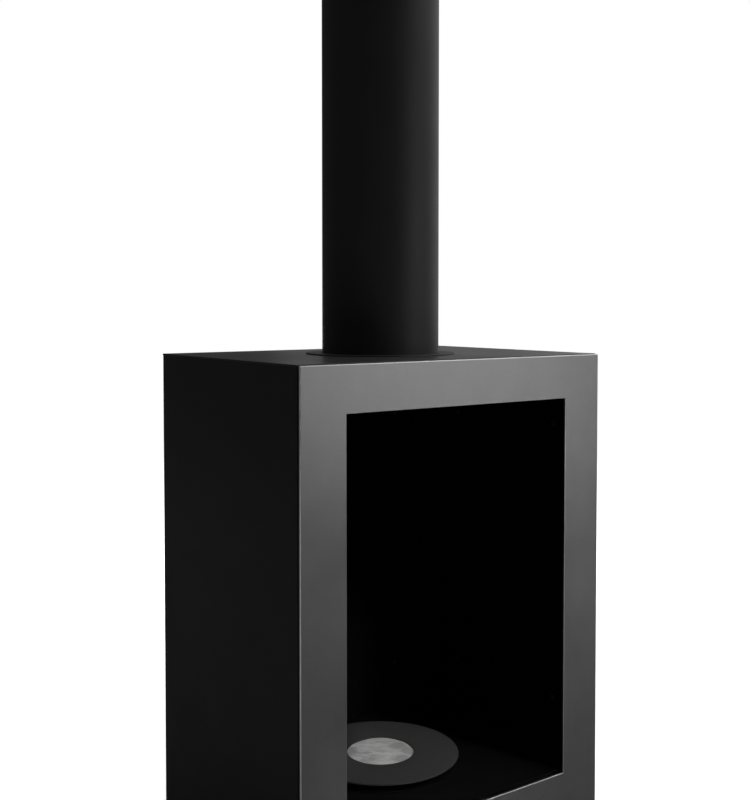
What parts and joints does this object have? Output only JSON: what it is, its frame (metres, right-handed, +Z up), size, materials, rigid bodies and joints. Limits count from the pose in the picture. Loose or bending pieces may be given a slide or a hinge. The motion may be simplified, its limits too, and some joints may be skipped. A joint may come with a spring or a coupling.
{
  "type": "bioethanol stove",
  "caption": "Free-standing bioethanol stove: sheet-steel casing with a thick grey front frame, a firebox with a lift-out round burner, and a flue pipe.",
  "frame": {"origin": "on the floor, under the middle of the casing, with the feet screwed right in", "axes": "+Z up along the flue pipe, the front frame faces -Y, +X is to the right seen from the front"},
  "size_m": [0.456, 0.332, 1.105],
  "materials": {
    "frame_grey": "dark grey metallic satin powder coat",
    "casing_black": "black satin powder coat",
    "top_black": "black satin powder coat",
    "firebox_black": "heat-resistant matte black",
    "pipe_black": "heat-resistant matte black",
    "ring_grey": "dark grey blasted steel",
    "screw_black": "black zinc",
    "zinc": "bright zinc",
    "stainless": "brushed stainless steel",
    "ceramic_wool": "matte ceramic fibre",
    "knob_black": "moulded heat-proof plastic",
    "foot_black": "moulded plastic pad on a steel stud"
  },
  "bodies": {
    "casing": {"front_frame": "frame_grey", "frame_studs": "zinc", "frame_spacers": "zinc", "frame_nuts": "zinc", "left_side_panel": "casing_black", "right_side_panel": "casing_black", "top_panel": "top_black", "base_plate": "casing_black", "back_panel": "casing_black", "back_screws": "screw_black", "left_liner": "firebox_black", "right_liner": "firebox_black", "rear_liner": "firebox_black", "firebox_roof": "firebox_black", "liner_standoffs": "zinc", "liner_screws": "screw_black", "left_hearth_rail": "casing_black", "right_hearth_rail": "casing_black", "rear_hearth_rail": "casing_black", "hearth_plate": "firebox_black", "overflow_tray": "stainless", "flue_collar": "pipe_black", "collar_screws": "zinc", "flue_pipe": "pipe_black", "pipe_screws": "screw_black", "foot_nuts": "zinc"},
    "burner": {"fuel_reservoir": "firebox_black", "ceramic_wool": "ceramic_wool"},
    "ring": {"burner_ring": "ring_grey", "ring_pins": "zinc"},
    "snuffer": {"snuffer_lid": "ring_grey", "snuffer_knob": "knob_black"},
    "rosette": {"pipe_rosette": "pipe_black"},
    "foot_front_left": {"foot_front_left": "foot_black"},
    "foot_front_right": {"foot_front_right": "foot_black"},
    "foot_rear_left": {"foot_rear_left": "foot_black"},
    "foot_rear_right": {"foot_rear_right": "foot_black"}
  },
  "joints": [
    {"name": "reservoir_lift", "type": "slide", "parent": "casing", "child": "burner", "axis": [0, 0, 1], "range_m": [0, 0.2]},
    {"name": "ring_lift", "type": "slide", "parent": "burner", "child": "ring", "axis": [0, 0, 1], "range_m": [0, 0.12]},
    {"name": "snuffer_lift", "type": "slide", "parent": "casing", "child": "snuffer", "axis": [0, 0, 1], "range_m": [0, 0.15]},
    {"name": "rosette_lift", "type": "slide", "parent": "casing", "child": "rosette", "axis": [0, 0, 1], "range_m": [0, 0.3]},
    {"name": "foot_front_left_screw", "type": "slide", "parent": "casing", "child": "foot_front_left", "axis": [0, 0, -1], "range_m": [0, 0.012]},
    {"name": "foot_front_right_screw", "type": "slide", "parent": "casing", "child": "foot_front_right", "axis": [0, 0, -1], "range_m": [0, 0.012]},
    {"name": "foot_rear_left_screw", "type": "slide", "parent": "casing", "child": "foot_rear_left", "axis": [0, 0, -1], "range_m": [0, 0.012]},
    {"name": "foot_rear_right_screw", "type": "slide", "parent": "casing", "child": "foot_rear_right", "axis": [0, 0, -1], "range_m": [0, 0.012]}
  ]
}
